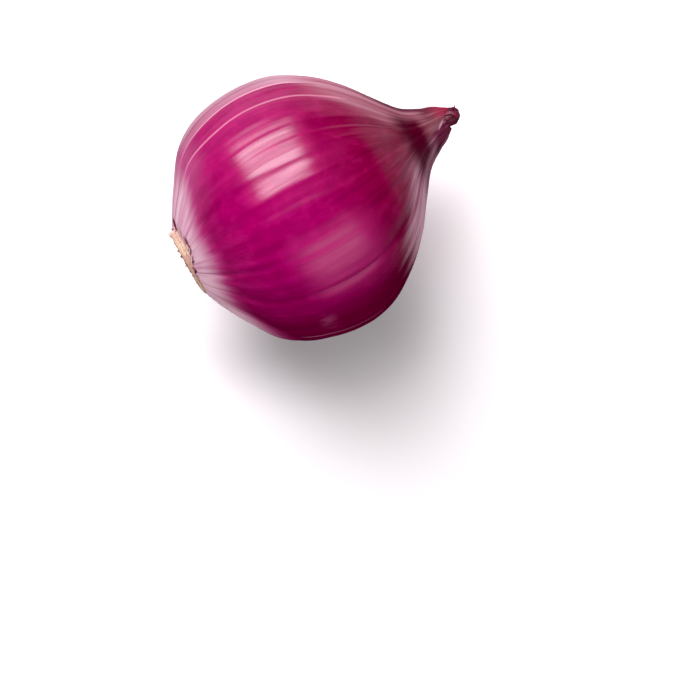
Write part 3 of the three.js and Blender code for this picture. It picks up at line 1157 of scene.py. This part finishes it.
thread_path = np.array([(45.1, 0.3, 1.2), (45.35, 0.5, 1.5), (45.54, 0.7, 1.75), (45.68, 1.02, 1.95)])
thread_path = thread_path + (0, axis_side(45.0), 0)
a = np.arange(8) * TURN / 8
thread_rings = np.stack(
    [
        place + np.stack([-thick * np.sin(a), thick * np.sin(a), thick * np.cos(a)], -1)
        for place, thick in zip(thread_path, (0.12, 0.09, 0.07, 0.04))
    ]
)
thread_points, thread_faces = closed_grid(thread_rings, thread_path[0], thread_path[-1])
thread_points = laid_down(thread_points) + lies_at
thread = in_scene("leaf_thread", mesh_of("leaf_thread", thread_points, thread_faces))
thread.data.materials.append(LEAF)
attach(thread, "root")


# The floor and the light
# A white table, lit by a large soft window light on the far side and a weaker one on the near.
# The room above is dark, and the table on the near side is shaded in the skin's reflections.
# Seen from below, the table is clear.
FLOOR_HALF = 1.2
BELLY_AT = (-0.0045, 0.0003, 0)
SHADED_SPOTS = [(0.0047, -0.0386, 0), (-0.0296, -0.0248, 0)]


def table_material():
    """White and matt, with painted shade round the bulb and a painted shadow beside it, and clear from
    below.
    """
    material, tree, shader = new_material("White_table", 0.9, 0.0)
    ray = tree.nodes.new("ShaderNodeLightPath").outputs
    here = add(tree, "ShaderNodeTexCoord").outputs["Object"]
    east, north = add(tree, "ShaderNodeSeparateXYZ", {0: here}).outputs[:2]

    def distance(spot):
        ends = {0: here, 1: spot}
        return add(tree, "ShaderNodeVectorMath", ends, operation="DISTANCE").outputs["Value"]

    # Painted shade in what the bulb is lit by and reflects: darker on the near side, and by two spots
    lit = product(
        tree,
        ramp(tree, calc(tree, "MINIMUM", *map(distance, SHADED_SPOTS)), 0.017, 0.028),
        ramp(tree, north, -0.055, -0.03),
        ramp(tree, east, -0.04, 0.0, 0.1, 1.0),
    )
    beside = calc(tree, "MAXIMUM", ramp(tree, east, 0.012, 0.03), ramp(tree, east, -0.035, -0.06))
    lit = calc(tree, "MAXIMUM", lit, product(tree, beside, ray["Is Diffuse Ray"]))
    lit = product(tree, lit, total(tree, (ray["Is Glossy Ray"], -0.7), offset=1.0))
    lit = total(tree, (lit, 0.72), offset=0.03)
    # What is seen of it: white, with a painted soft shadow on the near side of the bulb
    painted_shadow = product(
        tree,
        ramp(tree, distance(BELLY_AT), 0.033, 0.02),
        ramp(tree, north, -0.004, -0.018),
        ramp(tree, east, 0.012, -0.002),
    )
    shown = total(tree, (painted_shadow, -0.42), offset=1.2)
    share = {0: ray["Is Camera Ray"], 2: lit, 3: shown}
    white = add(tree, "ShaderNodeMix", share, data_type="FLOAT").outputs[0]
    tree.links.new(white, shader.inputs["Base Color"])
    # Far from the bulb it is as bright as the background, and its back can't be seen
    far_off = product(tree, ramp(tree, distance((0, 0, 0)), 0.2, 0.4), ray["Is Camera Ray"])
    bright = add(tree, "ShaderNodeEmission", {"Strength": 1.1}).outputs[0]
    seen = {0: far_off, 1: shader.outputs[0], 2: bright}
    seen = add(tree, "ShaderNodeMixShader", seen).outputs[0]
    behind = tree.nodes.new("ShaderNodeNewGeometry").outputs["Backfacing"]
    clear = tree.nodes.new("ShaderNodeBsdfTransparent").outputs[0]
    one_way = add(tree, "ShaderNodeMixShader", {0: behind, 1: seen, 2: clear}).outputs[0]
    tree.links.new(one_way, tree.nodes["Material Output"].inputs["Surface"])
    return material


floor_mesh = bpy.data.meshes.new("white_table")
corners = [(-1, -1), (1, -1), (1, 1), (-1, 1)]
floor_mesh.from_pydata([(a * FLOOR_HALF, b * FLOOR_HALF, 0) for a, b in corners], [], [(0, 1, 2, 3)])
floor_mesh.materials.append(table_material())
in_scene("white_table", floor_mesh)


def soft_light(name, stands_at, size, power, soft, in_reflections=True):
    """A rectangular light that faces the bulb, duller toward its edges by these shares."""
    lamp = bpy.data.lights.new(name, "AREA")
    lamp.shape = "RECTANGLE"
    lamp.size, lamp.size_y = size
    lamp.energy = power
    light = bpy.data.objects.new(name, lamp)
    light.location = stands_at
    toward = Vector((0, 0, 0.03)) - Vector(stands_at)
    light.rotation_euler = toward.to_track_quat("-Z", "Y").to_euler()
    light.visible_glossy = in_reflections
    lamp.use_nodes = True
    tree = lamp.node_tree
    across = tree.nodes.new("ShaderNodeNewGeometry").outputs["Parametric"]
    u, v = add(tree, "ShaderNodeSeparateXYZ", {0: across}).outputs[:2]
    faded = [
        ramp(tree, place, edge, abs(edge - share))
        for place, share in zip((u, v), soft)
        for edge in (0.0, 1.0)
    ]
    glow = total(tree, (product(tree, *faded), 0.8), offset=0.2)
    tree.links.new(glow, tree.nodes["Emission"].inputs["Strength"])
    bpy.context.scene.collection.objects.link(light)
    return light


window = soft_light("window_light", (0.012, 0.295, 0.31), (0.36, 0.43), 3.5, (0.2, 0.34))
window.data.color = (1.0, 0.94, 0.975)
soft_light("near_light", (0.095, -0.41, 0.29), (0.57, 0.5), 1.32, (0.3, 0.3))
soft_light("side_light", (0.45, -0.1, 0.6), (0.8, 0.8), 0.4, (0.1, 0.1), in_reflections=False)
soft_light("root_light", (-0.5, -0.06, 0.17), (0.4, 0.25), 0.8, (0.1, 0.1), in_reflections=False)
world = bpy.data.worlds.new("Dark_room")
bpy.context.scene.world = world
world.use_nodes = True
sky = world.node_tree
ray = sky.nodes.new("ShaderNodeLightPath").outputs
strength = total(sky, (ray["Is Glossy Ray"], -0.115), (ray["Is Camera Ray"], 1.0), offset=0.14)
tint = blend(sky, ray["Is Camera Ray"], (1, 0.86, 0.95, 1), (1, 1, 1, 1))
sky.links.new(tint, sky.nodes["Background"].inputs["Color"])
sky.links.new(strength, sky.nodes["Background"].inputs["Strength"])
grade = bpy.context.scene.view_settings
grade.view_transform = "Standard"
grade.use_curve_mapping = True
grade.curve_mapping.black_level = (0.004, 0.006, 0.004)
grade.curve_mapping.white_level = (0.9, 0.9, 0.9)
grade.curve_mapping.update()


# The camera
# It looks straight down, turned so that the bulb's axis rises to the right. The middle of its
# picture is measured from the root end, and its scale is in millimetres a pixel.
PHOTO_TURN = math.radians(28.85)
PHOTO_MIDDLE = (14.74, -22.90)
PHOTO_SCALE = 0.147
PHOTO_WIDTH = 700
LENS = 100
SENSOR = 36
lens_height = PHOTO_WIDTH * PHOTO_SCALE * LENS / SENSOR
camera_data = bpy.data.cameras.new("photo_camera")
camera_data.lens = LENS
camera_data.sensor_width = SENSOR
camera = bpy.data.objects.new("photo_camera", camera_data)
camera.location = Vector(lies_at + np.array([*PHOTO_MIDDLE, lens_height])) * MM
camera.rotation_euler = (0, 0, -PHOTO_TURN)
bpy.context.scene.collection.objects.link(camera)
bpy.context.scene.camera = camera
